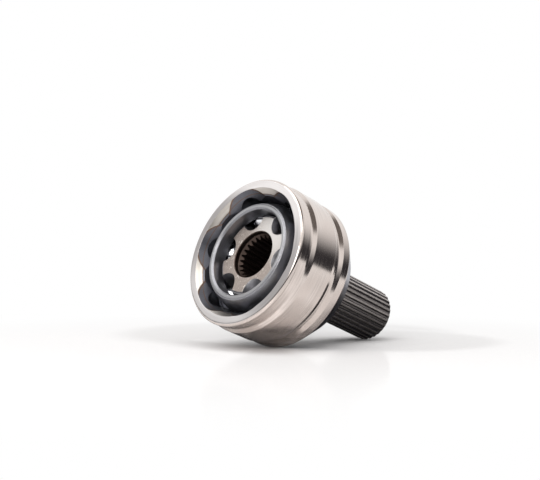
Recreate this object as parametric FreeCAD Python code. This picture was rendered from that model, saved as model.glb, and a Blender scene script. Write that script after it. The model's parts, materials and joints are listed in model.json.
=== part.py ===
import FreeCAD, Part
import math
import os

# Fixed constant-velocity joint of the six-ball kind: a bell-shaped outer race
# forged in one with its splined stub, a cage with six windows, an inner race
# with an internal spline, and six balls. Millimetres.
#
# The joint is drawn straight along X about the articulation centre O, which
# is the origin: X runs from the open mouth to the stub and Z points up. It is
# then tipped about Y through O until it lies, as it does on a bench, on the
# edge of its rear land and on the end of its stub.

# ---- how the joint works -------------------------------------------------
ball_dia = 17.46            # an 11/16 inch ball
pitch_radius = 31.8         # ball centres to O with the joint straight
track_offset = 2.5          # the centres of the track arcs, either side of O
track_phase = 36.7          # first track, degrees about X from straight up
bell_seam = 1.6             # start of the turned faces, off the lowest line, degrees
max_angle = 45.0            # articulation to either side, degrees
rest_angle = 4.4            # slack of the inner race as the joint lies, degrees
ball_count = 6

# ---- clearances ----------------------------------------------------------
outer_track_gap = 0.05      # ball to outer track, on the radius
inner_track_gap = 0.25      # ball to inner track, on the radius
window_gap = 0.25           # ball to each flat side of its window
sphere_gap = 0.07           # cage in outer race, inner race in cage
window_end_gap = 1.6        # room for a ball's sideways wander in its window

# ---- bell, outside ---------------------------------------------------------
mouth_x = -20.1             # rim face
rim_radius = 46.0
rim_round = 1.8
lip_length = 2.5
boot_seat_radius = 45.1     # groove for the boot's large clamp
boot_seat_end_x = -10.8
boot_seat_round = 3.0
boot_step_length = 3.1
land_radius = 46.6
land_front_round = 1.2
land_end_x = 8.5
rear_bevel_length = 2.3
rear_ridge_radius = 45.9
rear_ridge_length = 1.1
rear_groove_radius = 44.6
rear_groove_flank = 0.9     # length of the groove's front wall
rear_groove_floor = 1.3
rear_groove_round = 1.5
rear_land_radius = 46.1
rear_land_start_x = 16.6
rear_land_end_x = 21.8
rear_land_round = 0.8
back_cone_angle = 37.3      # flank of the cone behind the rear land, degrees
shoulder_x = 37.5           # face that seats on the wheel bearing
shoulder_round = 2.0
edge_round = 0.3            # every other turned corner

# ---- bell, inside ----------------------------------------------------------
funnel_radius = 40.5        # cone turned round the inside of the rim
funnel_depth = 4.2
throat_radius = 36.7        # mouth of the bore between the tracks
throat_end_x = -8.0         # where the bore turns into its sphere
cavity_floor_x = 29.0
scallop_reach = 41.0        # forged flare in front of each track, at the rim
scallop_radius = 28.0
scallop_angle = 31.0        # its slope towards the joint's axis, degrees
track_floor_room = 8.0      # track beyond the ball's last place, degrees

# ---- cage ----------------------------------------------------------------
cage_radius = 35.5          # outside sphere
cage_half_width = 18.4
cage_bore_radius = 27.3     # cylinder towards both ends
cage_outer_bevel = 0.7
cage_inner_bevel = 1.0
window_corner = 3.0

# ---- inner race ----------------------------------------------------------
inner_radius = 28.0         # outside sphere
inner_half_width = 12.4
inner_edge_bevel = 0.8
lead_in_radius = 14.9       # plain wall in front of the internal spline
lead_in_depth = 3.2
lead_in_bevel = 0.4
tooth_ramp_length = 2.6     # sloped front ends of the internal teeth
back_bevel = 1.5            # seat of the shaft's snap ring, behind the teeth

# ---- splines and stub ----------------------------------------------------
stub_spline_teeth = 30
stub_spline_phase = 6.0     # half a tooth, so the stub lies on two teeth, degrees
stub_spline_dia = 33.6
shaft_spline_teeth = 25
spline_pressure_angle = 30.0
spline_addendum = 0.5       # tooth above the pitch circle, in modules
spline_dedendum = 0.75      # gap below the pitch circle, in modules
stub_end_x = 98.8           # end of the full spline diameter
stub_end_bevel = 1.5
spline_start_x = 42.0
spline_run_in = 2.0         # length of the teeth's sloped start
neck_round = 2.5
bolt_hole_radius = 6.25     # tapped M14 x 1.5, drawn at its minor radius
bolt_hole_depth = 32.0
bolt_hole_bevel = 1.2
drill_point_angle = 118.0

# ---- worked out from the above -------------------------------------------
origin = FreeCAD.Vector(0, 0, 0)
axis_x = FreeCAD.Vector(1, 0, 0)
axis_y = FreeCAD.Vector(0, 1, 0)
ball_radius = ball_dia / 2
track_arc = math.hypot(pitch_radius, track_offset)
spline_module = stub_spline_dia / (stub_spline_teeth + 2 * spline_addendum)
cavity_radius = cage_radius + sphere_gap
cage_socket_radius = inner_radius + sphere_gap
clear = 1.0                 # how far a cutting tool stands out past what it cuts
lean = math.degrees(math.atan2(rear_land_radius - stub_spline_dia / 2,
                               stub_end_x - rear_land_end_x))


def point(x, r):
    """A point of an outline in the XZ plane, r above the axis."""
    return FreeCAD.Vector(x, 0, r)


def outline(corners):
    """Closed face through (x, r) or (x, r, rounding) corners."""
    count = len(corners)
    runs = []
    for i, corner in enumerate(corners):
        here = point(corner[0], corner[1])
        rounding = corner[2] if len(corner) > 2 else 0
        if not rounding:
            runs.append((here, None, here))
            continue
        before = point(*corners[i - 1][:2]) - here
        after = point(*corners[(i + 1) % count][:2]) - here
        before.normalize()
        after.normalize()
        half = before.getAngle(after) / 2
        inward = before + after
        inward.normalize()
        start = here + before * (rounding / math.tan(half))
        end = here + after * (rounding / math.tan(half))
        middle = here + inward * (rounding / math.sin(half) - rounding)
        runs.append((start, middle, end))
    edges = []
    for i, (start, middle, end) in enumerate(runs):
        if middle is not None:
            edges.append(Part.Arc(start, middle, end).toShape())
        following = runs[(i + 1) % count][0]
        if end.distanceToPoint(following) > 1e-6:
            edges.append(Part.makeLine(end, following))
    return Part.Face(Part.Wire(edges))


def turned(corners):
    """Solid of revolution about the joint axis."""
    return outline(corners).revolve(origin, axis_x, 360)


def about_axis(shape, angle):
    """A copy of a shape turned about the joint axis."""
    copy = shape.copy()
    copy.rotate(origin, axis_x, angle)
    return copy


def track_angles():
    """Azimuths of the six tracks about the joint axis."""
    return [track_phase + i * 360 / ball_count for i in range(ball_count)]


def sphere_height(radius, x):
    """Distance from the axis of a sphere's surface at x."""
    return math.sqrt(radius ** 2 - x ** 2)


# ---- splines -------------------------------------------------------------

def involute(angle):
    """Involute function: the tangent of an angle less the angle."""
    return math.tan(angle) - angle


def spline_radius(teeth, modules):
    """Pitch radius plus so many modules."""
    return spline_module * (teeth / 2 + modules)


def spline_bar(teeth, root_radius, tip_radius, start_x, end_x):
    """Bar along X with involute teeth all round."""
    pressure = math.radians(spline_pressure_angle)
    base = teeth * spline_module / 2 * math.cos(pressure)

    def half_tooth(radius):
        return (math.pi / (2 * teeth) + involute(pressure)
                - involute(math.acos(base / radius)))

    def polar(radius, angle):
        return FreeCAD.Vector(start_x, radius * math.sin(angle), radius * math.cos(angle))

    mid_radius = (root_radius + tip_radius) / 2
    pitch = 2 * math.pi / teeth
    at_root, at_mid, at_tip = (half_tooth(r) for r in (root_radius, mid_radius, tip_radius))
    edges = []
    for i in range(teeth):
        a = i * pitch
        edges += [
            Part.Arc(polar(root_radius, a - at_root), polar(mid_radius, a - at_mid),
                     polar(tip_radius, a - at_tip)),
            Part.Arc(polar(tip_radius, a - at_tip), polar(tip_radius, a),
                     polar(tip_radius, a + at_tip)),
            Part.Arc(polar(tip_radius, a + at_tip), polar(mid_radius, a + at_mid),
                     polar(root_radius, a + at_root)),
            Part.Arc(polar(root_radius, a + at_root), polar(root_radius, a + pitch / 2),
                     polar(root_radius, a + pitch - at_root)),
        ]
    face = Part.Face(Part.Wire([edge.toShape() for edge in edges]))
    return face.extrude(axis_x * (end_x - start_x))


# ---- ball tracks ---------------------------------------------------------

def on_arc(centre_x, angle):
    """Point of a track's centre line, angle in degrees towards the stub."""
    turn = math.radians(angle)
    return point(centre_x + track_arc * math.sin(turn), track_arc * math.cos(turn))


def arc_channel(centre_x, radius, from_angle, to_angle):
    """Round bar bent along a track's arc, for the track at the top."""
    start = on_arc(centre_x, from_angle)
    pivot = point(centre_x, 0)
    tangent = (start - pivot).cross(axis_y)
    disc = Part.Face(Part.Wire(Part.makeCircle(radius, start, tangent)))
    return disc.revolve(pivot, axis_y, to_angle - from_angle)


def ball_place(tilt):
    """(x, r) of a ball whose line from O leans by tilt, in radians, in its track's plane."""
    sideways = track_offset * math.cos(tilt)
    reach = math.sqrt(track_arc ** 2 - sideways ** 2) - track_offset * math.sin(tilt)
    return reach * math.sin(tilt), reach * math.cos(tilt)


def outer_track():
    """What one track takes out of the bell: its arc, from beyond the rim to a round end."""
    radius = ball_radius + outer_track_gap
    ball_x, ball_r = ball_place(math.radians(max_angle / 2))
    floor_end = math.degrees(math.atan2(ball_x + track_offset, ball_r)) + track_floor_room
    rim_end = -math.degrees(math.asin((-mouth_x + ball_radius - track_offset) / track_arc))
    return [arc_channel(-track_offset, radius, rim_end, floor_end),
            Part.makeSphere(radius, on_arc(-track_offset, floor_end))]


def scallop():
    """The forged flare in front of the track at the top: a cone off the joint's axis."""
    slope = math.tan(math.radians(scallop_angle))
    start_x = mouth_x - clear
    start_radius = scallop_radius + clear * slope
    depth = throat_end_x - start_x
    return Part.makeCone(start_radius, start_radius - depth * slope, depth,
                         point(start_x, scallop_reach - scallop_radius), axis_x)


# ---- the pieces ----------------------------------------------------------

def make_outer_race():
    """Bell and stub in one piece, bored, tracked and drilled."""
    cutters = make_cavity() + [make_bolt_hole()]
    track_tools = outer_track() + [scallop()]
    for angle in track_angles():
        cutters += [about_axis(tool, angle) for tool in track_tools]
    return make_bell_blank().fuse(make_stub()).cut(cutters).removeSplitter()


def make_bell_blank():
    """The bell's turned outside, still solid, from the rim to the start of the stub."""
    cone = math.tan(math.radians(back_cone_angle))
    cone_end = rear_land_radius - (shoulder_x - rear_land_end_x) * cone
    spline_root = spline_radius(stub_spline_teeth, -spline_dedendum)
    boot_seat_start_x = mouth_x + lip_length + rim_radius - boot_seat_radius
    rear_groove_x = land_end_x + rear_bevel_length + rear_ridge_length
    groove_floor_x = rear_groove_x + rear_groove_flank
    neck_end_x = spline_start_x + spline_run_in / 2
    return about_axis(turned([
        (mouth_x, 0),
        (mouth_x, rim_radius, rim_round),
        (mouth_x + lip_length, rim_radius, edge_round),
        (boot_seat_start_x, boot_seat_radius, edge_round),
        (boot_seat_end_x, boot_seat_radius, boot_seat_round),
        (boot_seat_end_x + boot_step_length, land_radius, land_front_round),
        (land_end_x, land_radius, edge_round),
        (land_end_x + rear_bevel_length, rear_ridge_radius, edge_round),
        (rear_groove_x, rear_ridge_radius, edge_round),
        (groove_floor_x, rear_groove_radius, edge_round),
        (groove_floor_x + rear_groove_floor, rear_groove_radius, rear_groove_round),
        (rear_land_start_x, rear_land_radius, edge_round),
        (rear_land_end_x, rear_land_radius, rear_land_round),
        (shoulder_x, cone_end, shoulder_round),
        (shoulder_x, spline_root, neck_round),
        (neck_end_x, spline_root),
        (neck_end_x, 0),
    ]), bell_seam)


def make_cavity():
    """Funnel and throat, and behind them the sphere that the cage turns in."""
    throat_x = mouth_x + funnel_depth
    bore = turned([
        (mouth_x - clear, 0),
        (mouth_x - clear, funnel_radius),
        (mouth_x, funnel_radius),
        (throat_x, throat_radius, edge_round),
        (throat_end_x, sphere_height(cavity_radius, throat_end_x)),
        (throat_end_x, 0),
    ])
    length = cavity_floor_x - throat_end_x
    drum = Part.makeCylinder(cavity_radius + clear, length, point(throat_end_x, 0), axis_x)
    return [bore, Part.makeSphere(cavity_radius).common(drum)]


def make_stub():
    """Splined shaft, its teeth sloped at the start and bevelled at the end."""
    stub_radius = stub_spline_dia / 2
    spline_root = spline_radius(stub_spline_teeth, -spline_dedendum)
    end_x = stub_end_x + stub_end_bevel
    blank = turned([
        (spline_start_x, 0),
        (spline_start_x, spline_root),
        (spline_start_x + spline_run_in, stub_radius),
        (stub_end_x, stub_radius),
        (end_x, stub_radius - stub_end_bevel),
        (end_x, 0),
    ])
    teeth = spline_bar(stub_spline_teeth, spline_root, stub_radius, spline_start_x, end_x)
    return about_axis(blank.common(teeth), stub_spline_phase)


def make_bolt_hole():
    """Blind hole for the hub bolt, with a drill's cone at its bottom."""
    end_x = stub_end_x + stub_end_bevel
    floor_x = end_x - bolt_hole_depth
    drill_tip = bolt_hole_radius / math.tan(math.radians(drill_point_angle / 2))
    return turned([
        (end_x + clear, 0),
        (end_x + clear, bolt_hole_radius + bolt_hole_bevel + clear),
        (end_x - bolt_hole_bevel, bolt_hole_radius),
        (floor_x, bolt_hole_radius),
        (floor_x - drill_tip, 0),
    ])


def make_cage():
    """Ring cut from a sphere, both ends alike, with a window for each ball."""
    end_radius = sphere_height(cage_radius, cage_half_width)
    bore_end = cage_bore_radius + cage_inner_bevel
    half_profile = [
        (cage_half_width - cage_inner_bevel, cage_bore_radius),
        (cage_half_width, bore_end),
        (cage_half_width, end_radius - cage_outer_bevel),
        (cage_half_width - cage_outer_bevel, end_radius),
        (cage_half_width - cage_outer_bevel, cage_radius + clear),
    ]
    mirrored = [(-x, r) for x, r in reversed(half_profile)]
    ring = turned(half_profile + mirrored).common(Part.makeSphere(cage_radius))
    windows = [about_axis(make_window(), angle) for angle in track_angles()]
    return ring.cut([Part.makeSphere(cage_socket_radius)] + windows).removeSplitter()


def make_window():
    """Window for the ball at the top: square across, with rounded corners."""
    half_x = ball_radius + window_gap
    half_y = ball_radius + window_end_gap
    inside = sphere_height(cage_bore_radius, half_y) - clear
    block = Part.makeBox(2 * half_x, 2 * half_y, cage_radius + clear - inside,
                         FreeCAD.Vector(-half_x, -half_y, inside))
    upright = [edge for edge in block.Edges
               if abs(edge.tangentAt(edge.FirstParameter).z) > 0.9]
    return block.makeFillet(window_corner, upright)


def make_inner_race():
    """Ring cut from a sphere, with six tracks outside and the shaft's spline inside."""
    edge_radius = sphere_height(inner_radius, inner_half_width)
    bevel_x = inner_half_width - inner_edge_bevel
    spline_root = spline_radius(shaft_spline_teeth, spline_dedendum)
    spline_tip = spline_radius(shaft_spline_teeth, -spline_addendum)
    blank = turned([
        (-inner_half_width, 0),
        (-inner_half_width, edge_radius - inner_edge_bevel),
        (-bevel_x, edge_radius),
        (-bevel_x, inner_radius + clear),
        (bevel_x, inner_radius + clear),
        (bevel_x, edge_radius),
        (inner_half_width, edge_radius - inner_edge_bevel),
        (inner_half_width, 0),
    ]).common(Part.makeSphere(inner_radius))
    front_x = -inner_half_width - clear
    ramp_x = -inner_half_width + lead_in_depth
    lead_in = turned([
        (front_x, 0),
        (front_x, lead_in_radius + lead_in_bevel + clear),
        (-inner_half_width + lead_in_bevel, lead_in_radius),
        (ramp_x, lead_in_radius),
        (ramp_x + tooth_ramp_length, spline_tip),
        (ramp_x + tooth_ramp_length, 0),
    ])
    snap_ring_seat = turned([
        (inner_half_width + clear, 0),
        (inner_half_width + clear, spline_root + clear),
        (inner_half_width, spline_root),
        (inner_half_width - back_bevel, spline_tip),
        (inner_half_width - back_bevel, 0),
    ])
    spline = spline_bar(shaft_spline_teeth, spline_tip, spline_root,
                        front_x, inner_half_width + clear)
    reach = math.degrees(math.asin((inner_half_width + ball_radius) / track_arc))
    track = arc_channel(track_offset, ball_radius + inner_track_gap, -reach, reach)
    tracks = [about_axis(track, angle) for angle in track_angles()]
    return blank.cut([lead_in, snap_ring_seat, spline] + tracks).removeSplitter()


def make_balls():
    """The balls where they stand at rest, between their two crossed tracks."""
    cage_turn = math.radians(rest_angle / 2)
    balls = []
    for angle in track_angles():
        tilt = math.atan(math.cos(math.radians(angle)) * math.tan(cage_turn))
        ball = Part.makeSphere(ball_radius)
        ball.translate(point(*ball_place(tilt)))
        balls.append(about_axis(ball, angle))
    return balls


def main():
    """Poses the cage and the inner race at rest, leans the joint over and writes each node."""
    cage = make_cage()
    cage.rotate(origin, axis_y, rest_angle / 2)
    inner_race = make_inner_race()
    inner_race.rotate(origin, axis_y, rest_angle)
    nodes = {"outer_race": make_outer_race(), "cage": cage, "inner_race": inner_race}
    for i, ball in enumerate(make_balls()):
        nodes[f"ball_{i + 1}"] = ball
    os.makedirs("parts", exist_ok=True)
    for name, shape in nodes.items():
        shape.rotate(origin, axis_y, lean)
        shape.exportStep(f"parts/{name}.step")


main()
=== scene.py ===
import json
import math

import bpy
import numpy as np
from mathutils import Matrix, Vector


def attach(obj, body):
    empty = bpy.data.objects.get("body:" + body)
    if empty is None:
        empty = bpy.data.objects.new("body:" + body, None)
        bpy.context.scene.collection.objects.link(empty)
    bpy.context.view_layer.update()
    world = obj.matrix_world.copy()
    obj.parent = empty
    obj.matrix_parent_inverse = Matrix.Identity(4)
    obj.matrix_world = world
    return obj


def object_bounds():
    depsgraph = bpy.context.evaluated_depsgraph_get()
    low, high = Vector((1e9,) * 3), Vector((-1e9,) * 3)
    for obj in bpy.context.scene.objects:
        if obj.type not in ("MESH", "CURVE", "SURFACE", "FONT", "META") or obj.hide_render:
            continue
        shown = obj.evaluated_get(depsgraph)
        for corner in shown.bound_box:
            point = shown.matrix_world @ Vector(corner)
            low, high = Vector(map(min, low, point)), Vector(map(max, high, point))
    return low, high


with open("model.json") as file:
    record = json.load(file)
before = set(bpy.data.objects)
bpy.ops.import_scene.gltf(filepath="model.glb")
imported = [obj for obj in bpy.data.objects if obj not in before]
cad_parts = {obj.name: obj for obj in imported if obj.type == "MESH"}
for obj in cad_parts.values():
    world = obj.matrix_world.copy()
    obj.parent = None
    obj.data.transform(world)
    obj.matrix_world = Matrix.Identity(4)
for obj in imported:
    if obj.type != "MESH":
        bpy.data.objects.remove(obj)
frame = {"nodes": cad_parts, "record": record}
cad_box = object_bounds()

scene = bpy.context.scene
scene.view_settings.view_transform = "Standard"


# ---- camera ----------------------------------------------------------------
# A long lens that stands almost level with the articulation centre, turned so
# that the open mouth, the flank of the bell and the splined stub all show.
view_right = Vector((0.7277, -0.6859, 0.0))
view_forward = Vector((0.6859, 0.7277, 0.0))
camera_back = 0.6957
camera_aside = 0.00195
camera_up = 0.0136

lens = bpy.data.cameras.new("long_lens")
lens.lens = 77.53
lens.sensor_width = 36.0
lens.clip_start = 0.01
camera = bpy.data.objects.new("camera", lens)
scene.collection.objects.link(camera)
camera.location = (view_right * camera_aside - view_forward * camera_back
                   + Vector((0, 0, camera_up)))
camera.rotation_euler = view_forward.to_track_quat("-Z", "Y").to_euler()
scene.camera = camera


# ---- table -----------------------------------------------------------------
# A pale table that takes the joint's shadow and a faint mirror image of it,
# and fades into the white of the room a little way off.
floor_height = cad_box[0][2]
floor_half = 6.0
table_near = 0.10
table_far = 0.34
table_polish = 0.14


def new_material(name):
    """Empty material; returns it with its tree and output node."""
    material = bpy.data.materials.new(name)
    material.use_nodes = True
    tree = material.node_tree
    tree.nodes.clear()
    return material, tree, tree.nodes.new("ShaderNodeOutputMaterial")


def combine(tree, operation, *values):
    """Math node over numbers or other nodes' outputs."""
    node = tree.nodes.new("ShaderNodeMath")
    node.operation = operation
    for socket, value in zip(node.inputs, values):
        if isinstance(value, (int, float)):
            socket.default_value = value
        else:
            tree.links.new(value, socket)
    return node.outputs[0]


def ramp(tree, value, low, high):
    """0 where value is at low, 1 where it is at high, with a smooth step between."""
    node = tree.nodes.new("ShaderNodeMapRange")
    node.interpolation_type = "SMOOTHSTEP"
    for label, number in (("From Min", low), ("From Max", high)):
        node.inputs[label].default_value = number
    tree.links.new(value, node.inputs["Value"])
    return node.outputs["Result"]


def seen_directly(tree):
    """1 for camera, mirror and glass rays, and 0 for the rays that light things."""
    rays = tree.nodes.new("ShaderNodeLightPath")
    mirror = combine(tree, "MAXIMUM", rays.outputs["Is Camera Ray"], rays.outputs["Is Glossy Ray"])
    return combine(tree, "MAXIMUM", mirror, rays.outputs["Is Transmission Ray"])


def mix_shaders(tree, share, first, second):
    """Shader that goes from first to second as share goes from 0 to 1."""
    node = tree.nodes.new("ShaderNodeMixShader")
    if isinstance(share, float):
        node.inputs["Fac"].default_value = share
    else:
        tree.links.new(share, node.inputs["Fac"])
    tree.links.new(first, node.inputs[1])
    tree.links.new(second, node.inputs[2])
    return node.outputs[0]


def pale_table():
    material, tree, out = new_material("pale_table")
    matt = tree.nodes.new("ShaderNodeBsdfDiffuse")
    matt.inputs["Color"].default_value = (0.93, 0.93, 0.94, 1)
    polish = tree.nodes.new("ShaderNodeBsdfGlossy")
    polish.inputs["Color"].default_value = (0.95, 0.95, 0.96, 1)
    polish.inputs["Roughness"].default_value = 0.12
    white = tree.nodes.new("ShaderNodeEmission")
    place = tree.nodes.new("ShaderNodeTexCoord")
    away = tree.nodes.new("ShaderNodeVectorMath")
    away.operation = "LENGTH"
    tree.links.new(place.outputs["Object"], away.inputs[0])
    fade = ramp(tree, away.outputs["Value"], table_near, table_far)
    share = combine(tree, "MULTIPLY", fade, seen_directly(tree))
    top = mix_shaders(tree, table_polish, matt.outputs[0], polish.outputs[0])
    tree.links.new(mix_shaders(tree, share, top, white.outputs[0]), out.inputs["Surface"])
    return material


def mesh_object(name, corners, faces):
    mesh = bpy.data.meshes.new(name)
    mesh.from_pydata(np.asarray(corners).tolist(), [], np.asarray(faces).tolist())
    mesh.update()
    made = bpy.data.objects.new(name, mesh)
    scene.collection.objects.link(made)
    return made


floor_corners = np.array([(-1, -1), (1, -1), (1, 1), (-1, 1)]) * floor_half
floor = mesh_object("floor", np.column_stack([floor_corners, np.full(4, floor_height)]),
                    [(0, 1, 2, 3)])
floor.data.materials.append(pale_table())


# ---- dark cards ------------------------------------------------------------
# Low black cards stand round the sides and the front of the table, out of the
# camera's sight. Polished steel mirrors them as the dark band along its flank.
card_ring = 0.40
card_solid = 0.045
card_fade = 0.235
card_foot = 0.024
card_drop = 0.055
card_sides = (0.45, 0.80)
card_steps = 96


def card_black():
    """Black that fades to clear at its upper and lower edges and towards the back of the room.
    On the left the upper edge comes down, so that the rim and the mouth mirror more white."""
    material, tree, out = new_material("card_black")
    black = tree.nodes.new("ShaderNodeEmission")
    black.inputs["Color"].default_value = (0.040, 0.038, 0.042, 1)
    clear = tree.nodes.new("ShaderNodeBsdfTransparent")
    place = tree.nodes.new("ShaderNodeTexCoord")
    split = tree.nodes.new("ShaderNodeSeparateXYZ")
    tree.links.new(place.outputs["Object"], split.inputs[0])
    left = tree.nodes.new("ShaderNodeVectorMath")
    left.operation = "DOT_PRODUCT"
    left.inputs[1].default_value = view_right / -card_ring
    tree.links.new(place.outputs["Object"], left.inputs[0])
    lowered = combine(tree, "MULTIPLY", combine(tree, "MAXIMUM", left.outputs["Value"], 0.0),
                      card_drop)
    level = combine(tree, "ADD", split.outputs["Z"], lowered)
    below = combine(tree, "MULTIPLY", ramp(tree, level, card_fade, card_solid),
                    ramp(tree, split.outputs["Z"], floor_height, floor_height + card_foot))
    behind = tree.nodes.new("ShaderNodeVectorMath")
    behind.operation = "DOT_PRODUCT"
    behind.inputs[1].default_value = view_forward / card_ring
    tree.links.new(place.outputs["Object"], behind.inputs[0])
    sides = ramp(tree, behind.outputs["Value"], card_sides[1], card_sides[0])
    cover = combine(tree, "MULTIPLY", below, sides)
    tree.links.new(mix_shaders(tree, cover, clear.outputs[0], black.outputs[0]),
                   out.inputs["Surface"])
    return material


def only_mirrored(card):
    """Hide a card from everything but mirror rays."""
    card.visible_camera = False
    card.visible_diffuse = False
    card.visible_shadow = False
    card.visible_transmission = False


def dark_cards():
    """Upright band round the table: points at one radius, at two heights."""
    turn = np.arange(card_steps) * 2 * np.pi / card_steps
    ring = card_ring * np.column_stack([np.cos(turn), np.sin(turn)])
    corners = np.vstack([np.column_stack([ring, np.full(card_steps, height)])
                         for height in (floor_height, card_fade)])
    here = np.arange(card_steps)
    following = np.roll(here, -1)
    faces = np.column_stack([here, following, following + card_steps, here + card_steps])
    band = mesh_object("dark_cards", corners, faces)
    only_mirrored(band)
    band.data.materials.append(card_black())
    return band


dark_cards()


# ---- dark ceiling ----------------------------------------------------------
# A grey card hangs over the right of the table, out of the camera's sight. The
# steps and fillets of the bell mirror it, and so stand out from the flat bands.
ceiling_height = 0.80
ceiling_radius = 0.56
ceiling_right = 0.50
ceiling_solid = 0.5
ceiling_grey = (0.16, 0.145, 0.135)


def fading_card(name, middle, radius, solid, most, colour):
    """Flat square card. Its cover is most out to solid times the radius from its middle, and
    falls to nothing at the radius."""
    material, tree, out = new_material(name)
    flat = tree.nodes.new("ShaderNodeEmission")
    flat.inputs["Color"].default_value = (*colour, 1)
    clear = tree.nodes.new("ShaderNodeBsdfTransparent")
    place = tree.nodes.new("ShaderNodeTexCoord")
    away = tree.nodes.new("ShaderNodeVectorMath")
    away.operation = "DISTANCE"
    away.inputs[1].default_value = middle
    tree.links.new(place.outputs["Object"], away.inputs[0])
    cover = combine(tree, "MULTIPLY", ramp(tree, away.outputs["Value"], radius, radius * solid),
                    most)
    tree.links.new(mix_shaders(tree, cover, clear.outputs[0], flat.outputs[0]),
                   out.inputs["Surface"])
    corners = floor_corners / floor_half * radius + np.array(middle[:2])
    card = mesh_object(name, np.column_stack([corners, np.full(4, middle[2])]), [(0, 1, 2, 3)])
    only_mirrored(card)
    card.data.materials.append(material)
    return card


ceiling_middle = view_right * ceiling_right + Vector((0, 0, ceiling_height))
fading_card("ceiling_card", ceiling_middle, ceiling_radius, ceiling_solid, 1.0,
                     ceiling_grey)


# ---- shade cards -----------------------------------------------------------
# Three flat black cards lie on the table under and behind the joint, as painted shade where the
# joint's shadow falls on the table. Only polished steel sees them, as the dark lines under the
# bell's edges.
shade_lift = 0.0002
shade_solid = 0.75
shade_most = 0.95
shade_black = (0.020, 0.019, 0.021)
shade_cards = {
    "shade_under": ((0.013, 0.001), 0.038),
    "shade_behind": ((0.090, 0.075), 0.130),
    "shade_stub": ((0.090, -0.010), 0.088),
}


for card_name, (card_middle, card_radius) in shade_cards.items():
    fading_card(card_name, (*card_middle, floor_height + shade_lift), card_radius,
                         shade_solid, shade_most, shade_black)


# ---- room and lamps --------------------------------------------------------
# A white room, and one wide soft lamp overhead with a smaller one at the
# front left, which lights the rim and the face of the inner race.
room_light = 0.60


def white_room():
    world = bpy.data.worlds.new("white_room")
    scene.world = world
    world.use_nodes = True
    tree = world.node_tree
    tree.nodes.clear()
    out = tree.nodes.new("ShaderNodeOutputWorld")
    light = tree.nodes.new("ShaderNodeBackground")
    light.inputs["Color"].default_value = (1.0, 0.985, 0.97, 1)
    light.inputs["Strength"].default_value = room_light
    white = tree.nodes.new("ShaderNodeBackground")
    white.inputs["Color"].default_value = (1, 1, 1, 1)
    white.inputs["Strength"].default_value = 1.0
    tree.links.new(mix_shaders(tree, seen_directly(tree), light.outputs[0], white.outputs[0]),
                   out.inputs["Surface"])


def soft_lamp(name, place, size, power, tint):
    """Square lamp that looks at the joint."""
    lamp = bpy.data.lights.new(name, "AREA")
    lamp.size = size
    lamp.energy = power
    lamp.color = tint
    holder = bpy.data.objects.new(name, lamp)
    scene.collection.objects.link(holder)
    holder.location = place
    holder.rotation_euler = (-Vector(place)).to_track_quat("-Z", "Y").to_euler()


white_room()
soft_lamp("overhead", (-0.25, -0.15, 1.3), 1.3, 9.0, (1.0, 0.985, 0.97))
soft_lamp("front_left", (-1.1, -0.55, 0.55), 0.6, 6.0, (1.0, 0.97, 0.94))


# ---- outer race ------------------------------------------------------------
# The bell and its splined stub are one steel forging. The bell is turned and
# polished outside; its inside, its back cone and the stub keep the dark skin
# of the heat treatment, and a cone is turned bright round the mouth.
mouth_x = -20.1
cone_radius = 40.5
cone_slope = 3.8 / 4.2
cone_end_x = -17.0
track_offset = 2.5
track_reach = 42.4
scallop_reach = 41.5
rear_land_end_x = 22.3
shoulder_x = 37.5
neck_radius = 19.2
root_radius = 15.45
crest_radius = 16.75
race_edge = 0.0003
race_bump = 2.2e-6
# Direction along which the rim face's painted sheen is darkest.
painted_sheen_direction = (0.0, -0.93, -0.37)

stub_axis = next(m for m in frame["record"]["mounts"] if m["name"] == "hub_spline")["axis"]
lean = math.atan2(-stub_axis[2], stub_axis[0])


def new_group(name, inputs, outputs):
    """Node group; inputs and outputs map a socket's name to its kind."""
    made = bpy.data.node_groups.new(name, "ShaderNodeTree")
    for label, kind in inputs.items():
        made.interface.new_socket(label, in_out="INPUT", socket_type="NodeSocket" + kind)
    for label, kind in outputs.items():
        made.interface.new_socket(label, in_out="OUTPUT", socket_type="NodeSocket" + kind)
    return made, made.nodes.new("NodeGroupInput").outputs, made.nodes.new("NodeGroupOutput").inputs


def use_group(tree, made, **values):
    """Place a group; values are numbers or other nodes' outputs. Returns its outputs."""
    node = tree.nodes.new("ShaderNodeGroup")
    node.node_tree = made
    for label, value in values.items():
        if isinstance(value, (int, float)):
            node.inputs[label].default_value = value
        else:
            tree.links.new(value, node.inputs[label])
    return node.outputs


def about_axis_group():
    """Millimetres along and away from a leaning axis, and the unit direction round it."""
    made, given, out = new_group("about_axis", {"Lean": "Float"},
                                 {"Along": "Float", "Away": "Float", "Round": "Vector"})
    place = made.nodes.new("ShaderNodeTexCoord")
    angles = made.nodes.new("ShaderNodeCombineXYZ")
    made.links.new(combine(made, "MULTIPLY", given["Lean"], -1.0), angles.inputs["Y"])
    turn = made.nodes.new("ShaderNodeMapping")
    turn.inputs["Scale"].default_value = (1000, 1000, 1000)
    made.links.new(angles.outputs[0], turn.inputs["Rotation"])
    made.links.new(place.outputs["Object"], turn.inputs["Vector"])
    split = made.nodes.new("ShaderNodeSeparateXYZ")
    made.links.new(turn.outputs[0], split.inputs[0])
    across = made.nodes.new("ShaderNodeCombineXYZ")
    made.links.new(split.outputs["Y"], across.inputs["Y"])
    made.links.new(split.outputs["Z"], across.inputs["Z"])
    length = made.nodes.new("ShaderNodeVectorMath")
    length.operation = "LENGTH"
    made.links.new(across.outputs[0], length.inputs[0])
    unit = made.nodes.new("ShaderNodeVectorMath")
    unit.operation = "NORMALIZE"
    made.links.new(across.outputs[0], unit.inputs[0])
    made.links.new(split.outputs["X"], out["Along"])
    made.links.new(length.outputs["Value"], out["Away"])
    made.links.new(unit.outputs[0], out["Round"])
    return made


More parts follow.
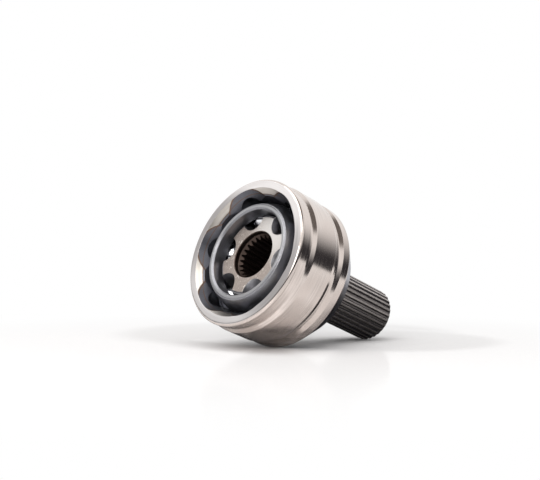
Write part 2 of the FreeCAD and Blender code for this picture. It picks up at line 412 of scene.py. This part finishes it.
def noise(tree, vector, scale, detail):
    """Noise between 0 and 1 at a vector."""
    node = tree.nodes.new("ShaderNodeTexNoise")
    node.inputs["Scale"].default_value = scale
    node.inputs["Detail"].default_value = detail
    tree.links.new(vector, node.inputs["Vector"])
    return node.outputs["Fac"]


def turned_lines_group():
    """Rings left by a lathe: noise that runs fast along a mix of both distances and slowly
    round."""
    made, given, out = new_group("turned_lines",
                                 {"Along": "Float", "Away": "Float", "Round": "Vector",
                                  "Spacing": "Float"},
                                 {"Line": "Float", "Drift": "Float"})
    mixed = combine(made, "ADD", given["Along"], combine(made, "MULTIPLY", given["Away"], 0.43))
    split = made.nodes.new("ShaderNodeSeparateXYZ")
    made.links.new(given["Round"], split.inputs[0])
    outputs = {}
    for label, pace, round_pace, detail in (("Line", 1.0, 0.9, 3.0), ("Drift", 0.12, 1.6, 1.0)):
        place = made.nodes.new("ShaderNodeCombineXYZ")
        run = combine(made, "DIVIDE", combine(made, "MULTIPLY", mixed, pace), given["Spacing"])
        made.links.new(run, place.inputs["X"])
        for side in "YZ":
            slowed = combine(made, "MULTIPLY", split.outputs[side], round_pace)
            made.links.new(slowed, place.inputs[side])
        outputs[label] = noise(made, place.outputs[0], 1.0, detail)
    for label, value in outputs.items():
        made.links.new(value, out[label])
    return made


def broken_edges_group():
    """Rounds the shading over sharp edges and tells where they are, by how far the rounded
    normal turns from the surface's own."""
    made, given, out = new_group("broken_edges", {"Radius": "Float"},
                                 {"Normal": "Vector", "Edge": "Float"})
    bevel = made.nodes.new("ShaderNodeBevel")
    bevel.samples = 6
    made.links.new(given["Radius"], bevel.inputs["Radius"])
    surface = made.nodes.new("ShaderNodeNewGeometry")
    agree = made.nodes.new("ShaderNodeVectorMath")
    agree.operation = "DOT_PRODUCT"
    made.links.new(bevel.outputs[0], agree.inputs[0])
    made.links.new(surface.outputs["Normal"], agree.inputs[1])
    made.links.new(bevel.outputs[0], out["Normal"])
    made.links.new(ramp(made, agree.outputs["Value"], 0.995, 0.86), out["Edge"])
    return made


def grain_group():
    """Fine pits and a few bright specks, as sizes in millimetres."""
    made, given, out = new_group("grain", {"Size": "Float"}, {"Pit": "Float", "Speck": "Float"})
    place = made.nodes.new("ShaderNodeTexCoord")
    scaled = made.nodes.new("ShaderNodeVectorMath")
    scaled.operation = "SCALE"
    made.links.new(place.outputs["Object"], scaled.inputs[0])
    made.links.new(combine(made, "DIVIDE", 1000.0, given["Size"]), scaled.inputs["Scale"])
    made.links.new(noise(made, scaled.outputs[0], 1.0, 4.0), out["Pit"])
    made.links.new(ramp(made, noise(made, scaled.outputs[0], 0.55, 2.0), 0.60, 0.72), out["Speck"])
    return made


def blend(tree, share, first, second):
    """Colour that goes from first to second; each is a colour or a node's output."""
    node = tree.nodes.new("ShaderNodeMix")
    node.data_type = "RGBA"
    tree.links.new(share, node.inputs[0])
    for socket, colour in ((node.inputs[6], first), (node.inputs[7], second)):
        if isinstance(colour, tuple):
            socket.default_value = (*colour, 1)
        else:
            tree.links.new(colour, socket)
    return node.outputs[2]


def fade_between(tree, share, first, second):
    """Number that goes from first to second; each is a number or a node's output."""
    node = tree.nodes.new("ShaderNodeMix")
    tree.links.new(share, node.inputs[0])
    for socket, value in ((node.inputs[2], first), (node.inputs[3], second)):
        if isinstance(value, float):
            socket.default_value = value
        else:
            tree.links.new(value, socket)
    return node.outputs[0]


def metal_shader(tree, out, colour, roughness, height, depth, normal):
    """Bare metal: depth is the height of its bumps in metres."""
    bump = tree.nodes.new("ShaderNodeBump")
    bump.inputs["Distance"].default_value = depth
    tree.links.new(height, bump.inputs["Height"])
    tree.links.new(normal, bump.inputs["Normal"])
    metal = tree.nodes.new("ShaderNodeBsdfPrincipled")
    metal.inputs["Metallic"].default_value = 1.0
    tree.links.new(colour, metal.inputs["Base Color"])
    tree.links.new(roughness, metal.inputs["Roughness"])
    tree.links.new(bump.outputs[0], metal.inputs["Normal"])
    tree.links.new(metal.outputs[0], out.inputs["Surface"])


about_axis = about_axis_group()
turned_lines = turned_lines_group()
broken_edges = broken_edges_group()
grain = grain_group()


def outer_race_steel():
    material, tree, out = new_material("outer_race_steel")
    axes = use_group(tree, about_axis, Lean=lean)
    along, away = axes["Along"], axes["Away"]
    lines = use_group(tree, turned_lines, Along=along, Away=away, Round=axes["Round"], Spacing=0.9)
    edges = use_group(tree, broken_edges, Radius=race_edge)
    pits = use_group(tree, grain, Size=0.35)

    # Where each finish lies, from 0 to 1.
    rim_face = combine(tree, "MULTIPLY", ramp(tree, along, mouth_x + 0.25, mouth_x + 0.1),
                       ramp(tree, away, 46.0, 44.6))
    cone = ramp(tree, along, rear_land_end_x, rear_land_end_x + 0.4)
    shoulder = ramp(tree, along, shoulder_x - 0.3, shoulder_x - 0.05)
    stub = combine(tree, "MULTIPLY", ramp(tree, along, shoulder_x - 0.1, shoulder_x + 0.3),
                   ramp(tree, away, neck_radius + 0.6, neck_radius))
    behind = combine(tree, "MAXIMUM", combine(tree, "ADD", along, track_offset), 0.0)
    squared = combine(tree, "ADD", combine(tree, "MULTIPLY", behind, behind),
                      combine(tree, "MULTIPLY", away, away))
    reach = combine(tree, "SQRT", squared)
    in_scallop = combine(tree, "MULTIPLY",
                         ramp(tree, away, scallop_reach + 0.2, scallop_reach),
                         ramp(tree, along, mouth_x + 0.02, mouth_x + 0.10))
    inside = combine(tree, "MULTIPLY", ramp(tree, reach, track_reach + 0.2, track_reach),
                     in_scallop)
    from_mouth = combine(tree, "SUBTRACT", along, mouth_x)
    cone_here = combine(tree, "SUBTRACT", cone_radius,
                        combine(tree, "MULTIPLY", from_mouth, cone_slope))
    cut = combine(tree, "SUBTRACT", away, cone_here)
    wander = combine(tree, "MULTIPLY_ADD", pits["Pit"], 0.10, -0.05)
    cut = combine(tree, "ADD", cut, wander)
    ragged_end = combine(tree, "ADD", along, combine(tree, "MULTIPLY", wander, 6.0))
    turned_cone = combine(tree, "MULTIPLY", ramp(tree, cut, 0.12, 0.06),
                          ramp(tree, ragged_end, cone_end_x + 0.15, cone_end_x - 0.15))
    scorched = combine(tree, "MAXIMUM",
                       combine(tree, "MULTIPLY", ramp(tree, cut, 0.06, 0.12),
                               ramp(tree, cut, 0.50, 0.15)),
                       combine(tree, "MULTIPLY",
                               ramp(tree, ragged_end, cone_end_x - 0.15, cone_end_x + 0.1),
                               ramp(tree, ragged_end, cone_end_x + 0.5, cone_end_x + 0.15)))

    score = ramp(tree, lines["Line"], 0.30, 0.70)
    bright = blend(tree, score, (0.62, 0.55, 0.51), (0.78, 0.70, 0.655))
    bright = blend(tree, ramp(tree, lines["Drift"], 0.40, 0.60), bright, (0.70, 0.62, 0.575))
    ground = blend(tree, score, (0.80, 0.76, 0.745), (0.90, 0.865, 0.85))
    # The rim was faced in fine rings. Painted sheen: its colour is painted darker towards two
    # opposite sides, as light falls on such rings.
    facing = tree.nodes.new("ShaderNodeVectorMath")
    facing.operation = "DOT_PRODUCT"
    facing.inputs[1].default_value = painted_sheen_direction
    tree.links.new(axes["Round"], facing.inputs[0])
    painted_sheen = combine(tree, "ADD", combine(tree, "ABSOLUTE", facing.outputs["Value"]),
                    combine(tree, "MULTIPLY_ADD", lines["Line"], 0.5, -0.25))
    ground = blend(tree, ramp(tree, painted_sheen, 0.55, 1.0), ground, (0.42, 0.395, 0.39))
    cut_steel = blend(tree, score, (0.47, 0.44, 0.40), (0.60, 0.56, 0.52))
    skin = blend(tree, pits["Pit"], (0.085, 0.088, 0.102), (0.215, 0.215, 0.24))
    blued = blend(tree, score, (0.17, 0.17, 0.205), (0.30, 0.30, 0.345))
    crest = ramp(tree, away, crest_radius - 0.15, crest_radius)
    floor_land = ramp(tree, away, root_radius + 0.25, root_radius)
    toothed = blend(tree, floor_land, (0.17, 0.16, 0.168), (0.42, 0.385, 0.375))
    toothed = blend(tree, crest, toothed, (0.62, 0.575, 0.55))
    toothed = blend(tree, ramp(tree, pits["Speck"], 0.2, 0.9), toothed, (0.40, 0.31, 0.245))

    colour = blend(tree, rim_face, bright, ground)
    colour = blend(tree, cone, colour, blued)
    colour = blend(tree, combine(tree, "MULTIPLY", cone, ramp(tree, along, rear_land_end_x + 0.9,
                                                              rear_land_end_x + 0.3)),
                   colour, (0.26, 0.15, 0.10))
    colour = blend(tree, shoulder, colour, (0.62, 0.575, 0.55))
    colour = blend(tree, stub, colour, toothed)
    colour = blend(tree, inside, colour, skin)
    colour = blend(tree, combine(tree, "MULTIPLY", inside, scorched), colour, (0.17, 0.105, 0.070))
    colour = blend(tree, combine(tree, "MULTIPLY", inside, turned_cone), colour, cut_steel)
    worn = combine(tree, "MULTIPLY", edges["Edge"], 0.55)
    colour = blend(tree, worn, colour, (0.86, 0.82, 0.79))

    roughness = fade_between(tree, score, 0.10, 0.19)
    roughness = fade_between(tree, rim_face, roughness, 0.32)
    roughness = fade_between(tree, cone, roughness, 0.32)
    roughness = fade_between(tree, stub, roughness, 0.50)
    roughness = fade_between(tree, inside, roughness, 0.36)
    roughness = fade_between(tree, combine(tree, "MULTIPLY", inside, turned_cone), roughness, 0.28)
    height = fade_between(tree, combine(tree, "MAXIMUM", inside, stub), lines["Line"], pits["Pit"])
    metal_shader(tree, out, colour, roughness, height, race_bump, edges["Normal"])
    return material


def dress(name, material):
    """Give a CAD node its finish."""
    mesh = frame["nodes"][name].data
    mesh.materials.clear()
    mesh.materials.append(material)


dress("outer_race", outer_race_steel())


# ---- hub bolt thread -------------------------------------------------------
# The stub is drilled and tapped M14 x 1.5 for the bolt that holds the hub. The
# thread is cut in the wall of the hole, which opens in the end of the stub.
thread_pitch = 1.5
thread_mouth_x = 99.1
thread_depth = 26.0
thread_crest = 6.02
thread_root = 6.22
thread_foot = 6.27
thread_steps = 64


def hub_thread():
    """Helical ridge: radius is a trapezoid of the place along the pitch, and the place along
    the axis falls by one pitch each turn. Rows are angles and columns cross the ridge. It
    sinks into the wall over its first and last half turn, to an open end of no area."""
    turns = thread_depth / thread_pitch
    count = int(turns * thread_steps) + 1
    angle = np.linspace(0, 2 * np.pi * turns, count)[:, None]
    across = np.array([0.0, 0.30, 0.44, 0.56, 0.70])[None, :]
    radius = np.array([[thread_foot, thread_root, thread_crest, thread_crest, thread_root]])
    along = thread_mouth_x - thread_pitch * (angle / (2 * np.pi) + across)
    ends = np.clip(np.minimum(angle, angle[-1] - angle) / np.pi, 0, 1)
    radius = thread_foot - (thread_foot - radius) * ends
    local = np.stack([along, radius * np.sin(angle), radius * np.cos(angle)], axis=-1) / 1000
    tilt = np.array([[math.cos(lean), 0, math.sin(lean)], [0, 1, 0],
                     [-math.sin(lean), 0, math.cos(lean)]])
    corners = local.reshape(-1, 3) @ tilt.T
    points = across.size
    row = np.arange(count - 1)[:, None] * points
    column = np.arange(points)[None, :]
    following = (column + 1) % points
    faces = np.stack([row + column, row + following, row + points + following,
                      row + points + column], -1)
    return mesh_object("hub_thread", corners, faces.reshape(-1, 4))


thread = hub_thread()
thread.data.materials.append(frame["nodes"]["outer_race"].data.materials[0])
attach(thread, "outer_race")


# ---- cage ------------------------------------------------------------------
# A ring of case-hardened steel cut from a sphere, ground to a dark satin, with
# a window for each ball and both end faces left brighter.
cage_end_x = 18.4
rest_angle_slack = math.radians(4.4)
cage_edge = 0.0003
cage_bump = 5e-6


def cage_steel():
    material, tree, out = new_material("cage_steel")
    axes = use_group(tree, about_axis, Lean=lean + rest_angle_slack / 2)
    lines = use_group(tree, turned_lines, Along=axes["Along"], Away=axes["Away"],
                      Round=axes["Round"], Spacing=0.6)
    edges = use_group(tree, broken_edges, Radius=cage_edge)
    pits = use_group(tree, grain, Size=0.5)
    far = combine(tree, "ABSOLUTE", axes["Along"])
    face = ramp(tree, far, cage_end_x - 0.15, cage_end_x - 0.05)
    satin = blend(tree, lines["Line"], (0.23, 0.23, 0.25), (0.42, 0.42, 0.445))
    satin = blend(tree, ramp(tree, pits["Pit"], 0.35, 0.75), satin, (0.27, 0.27, 0.29))
    colour = blend(tree, face, satin, (0.40, 0.40, 0.41))
    colour = blend(tree, combine(tree, "MULTIPLY", edges["Edge"], 0.8), colour, (0.72, 0.72, 0.73))
    roughness = fade_between(tree, pits["Pit"], 0.28, 0.42)
    metal_shader(tree, out, colour, roughness, pits["Pit"], cage_bump, edges["Normal"])
    return material


dress("cage", cage_steel())


# ---- inner race ------------------------------------------------------------
# A ring with six ground tracks. Its faces are shot blasted to a brown grey,
# and the bore has a plain lead-in and then the spline, both nearly black.
bore_radius = 15.3
face_x = 12.4
inner_edge = 0.00035
inner_bump = 2.5e-5
# Side of the inner race face that is painted lighter, as painted light.
painted_light_direction = (0.0, -0.62, 0.78)


def inner_race_steel():
    material, tree, out = new_material("inner_race_steel")
    axes = use_group(tree, about_axis, Lean=lean + rest_angle_slack)
    edges = use_group(tree, broken_edges, Radius=inner_edge)
    pits = use_group(tree, grain, Size=0.8)
    fine = use_group(tree, grain, Size=0.25)
    far = combine(tree, "ABSOLUTE", axes["Along"])
    face = ramp(tree, far, face_x - 0.2, face_x - 0.05)
    bore = ramp(tree, axes["Away"], bore_radius + 0.1, bore_radius - 0.1)
    # Painted highlight: the blasted face is painted lighter on its upper side, where light falls
    # on it.
    upper = tree.nodes.new("ShaderNodeVectorMath")
    upper.operation = "DOT_PRODUCT"
    upper.inputs[1].default_value = painted_light_direction
    tree.links.new(axes["Round"], upper.inputs[0])
    painted_light = ramp(tree, combine(tree, "ADD", upper.outputs["Value"],
                               combine(tree, "MULTIPLY", pits["Pit"], 0.3)), 0.35, 1.15)
    blasted = blend(tree, pits["Pit"], (0.29, 0.245, 0.215), (0.62, 0.545, 0.50))
    blasted = blend(tree, pits["Speck"], blasted, (0.84, 0.79, 0.74))
    blasted = blend(tree, painted_light, blasted, (0.80, 0.77, 0.74))
    ground = blend(tree, fine["Pit"], (0.28, 0.28, 0.30), (0.50, 0.495, 0.50))
    dark = blend(tree, fine["Pit"], (0.065, 0.048, 0.041), (0.13, 0.095, 0.080))
    colour = blend(tree, face, ground, blasted)
    colour = blend(tree, bore, colour, dark)
    wear = combine(tree, "MULTIPLY", edges["Edge"], 0.7)
    colour = blend(tree, combine(tree, "MULTIPLY", wear, combine(tree, "SUBTRACT", 1.0, bore)),
                   colour, (0.80, 0.76, 0.72))
    roughness = fade_between(tree, face, 0.30, 0.55)
    roughness = fade_between(tree, bore, roughness, 0.45)
    height = fade_between(tree, face, fine["Pit"], pits["Pit"])
    metal_shader(tree, out, colour, roughness, height, inner_bump, edges["Normal"])
    return material


dress("inner_race", inner_race_steel())


# ---- balls -----------------------------------------------------------------
# Six bearing balls of hardened chrome steel, lapped to a mirror, with a trace
# of assembly oil on them.
ball_edge = 0.0001
ball_bump = 1e-6


def ball_steel():
    material, tree, out = new_material("ball_steel")
    oil = use_group(tree, grain, Size=6.0)
    edges = use_group(tree, broken_edges, Radius=ball_edge)
    colour = blend(tree, oil["Pit"], (0.80, 0.81, 0.83), (0.90, 0.905, 0.92))
    roughness = fade_between(tree, ramp(tree, oil["Pit"], 0.45, 0.65), 0.035, 0.10)
    metal_shader(tree, out, colour, roughness, oil["Pit"], ball_bump, edges["Normal"])
    return material


chrome = ball_steel()
for name in frame["nodes"]:
    if name.startswith("ball_"):
        dress(name, chrome)
